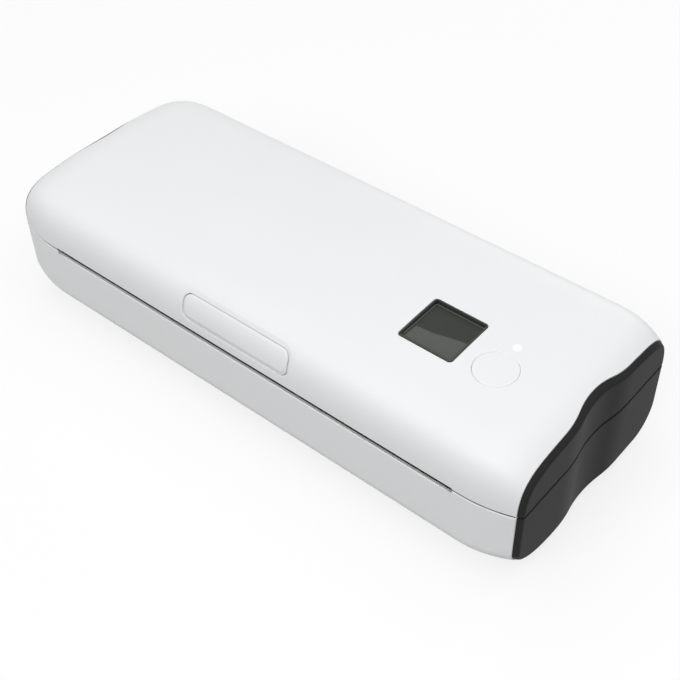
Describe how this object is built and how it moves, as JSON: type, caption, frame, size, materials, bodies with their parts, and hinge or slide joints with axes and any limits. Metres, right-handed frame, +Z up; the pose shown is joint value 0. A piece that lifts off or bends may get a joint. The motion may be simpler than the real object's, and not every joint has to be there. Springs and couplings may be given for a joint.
{
  "type": "portable thermal printer",
  "caption": "White clamshell bar printer with dark waisted end caps, a rear-hinged cover with smoked window, flush buttons and a toothed paper slit along the front.",
  "frame": {"origin": "middle of the footprint, on the table", "axes": "+X along the bar, towards the end with the window and the power button; -Y out of the paper slit; +Z up"},
  "size_m": [0.278, 0.1126, 0.0654],
  "materials": {
    "white_shell": "satin moulded white",
    "charcoal_cap": "satin charcoal",
    "black_moulding": "fine matt texture",
    "smoked_lens": "smoked clear plastic",
    "lamp_diffuser": "white diffuser",
    "steel": "ground steel",
    "aluminium": "extruded",
    "head_ceramic": "glazed ceramic",
    "platen_rubber": "ground rubber",
    "foot_rubber": "soft rubber",
    "white_gear": "moulded acetal",
    "brass_pinion": "cut brass",
    "circuit_board": "solder mask",
    "cell_wrap": "shrink wrap"
  },
  "bodies": {
    "base": {"base_shell": "white_shell", "left_base_cap": "charcoal_cap", "right_base_cap": "charcoal_cap", "inner_frame": "black_moulding", "paper_tray": "black_moulding", "tear_bar": "white_shell", "head_pivot_rod": "steel", "head_springs": "steel", "drive_motor": "steel", "gear_axle": "steel", "battery_cells": "cell_wrap", "main_board": "circuit_board", "main_board_screws": "steel", "charging_socket": "steel", "paper_sensor": "black_moulding", "rubber_feet": "foot_rubber", "frame_screws": "steel"},
    "cover": {"cover_shell": "white_shell", "left_cover_cap": "charcoal_cap", "right_cover_cap": "charcoal_cap", "window_bezel": "black_moulding", "window_lens": "smoked_lens", "lamp_light_pipe": "lamp_diffuser", "key_board": "circuit_board", "key_board_screws": "steel", "left_platen_bracket": "steel", "right_platen_bracket": "steel", "platen_bushes": "white_gear", "hinge_pins": "steel"},
    "release": {"release_button": "white_shell", "latch_bar": "steel"},
    "power": {"power_button": "white_shell"},
    "platen": {"platen_shaft": "steel", "platen_rubber": "platen_rubber", "platen_gear": "white_gear"},
    "head": {"print_head": "head_ceramic", "head_bracket": "aluminium"},
    "reduction": {"reduction_gear": "white_gear"},
    "motor": {"motor_pinion": "brass_pinion"}
  },
  "joints": [
    {"name": "cover_hinge", "type": "hinge", "parent": "base", "child": "cover", "pos_m": [0, 0.05305, 0.0403], "axis": [-1, 0, 0], "range_deg": [0, 90]},
    {"name": "release_press", "type": "slide", "parent": "cover", "child": "release", "axis": [0, 0.9455, -0.3256], "range_m": [0, 0.0018], "stiffness_N_per_m": 900, "springref_m": -0.003},
    {"name": "power_press", "type": "slide", "parent": "cover", "child": "power", "axis": [0, 0, -1], "range_m": [0, 0.0005], "stiffness_N_per_m": 800, "springref_m": -0.0015},
    {"name": "platen_turn", "type": "hinge", "parent": "cover", "child": "platen", "pos_m": [0, -0.043, 0.0469], "axis": [1, 0, 0], "continuous": true},
    {"name": "head_tilt", "type": "hinge", "parent": "base", "child": "head", "pos_m": [0, -0.0374, 0.0316], "axis": [1, 0, 0], "range_deg": [0, 1.2], "stiffness_Nm_per_rad": 2, "springref_deg": -2.86},
    {"name": "reduction_turn", "type": "hinge", "parent": "base", "child": "reduction", "pos_m": [-0.1185, -0.03885, 0.03551], "axis": [1, 0, 0], "continuous": true},
    {"name": "motor_turn", "type": "hinge", "parent": "base", "child": "motor", "pos_m": [-0.1185, -0.02681, 0.02541], "axis": [1, 0, 0], "continuous": true}
  ],
  "couplings": [
    {"joint": "reduction_turn", "follows": "platen_turn", "ratio": -1.2222},
    {"joint": "motor_turn", "follows": "platen_turn", "ratio": 4.0741}
  ]
}
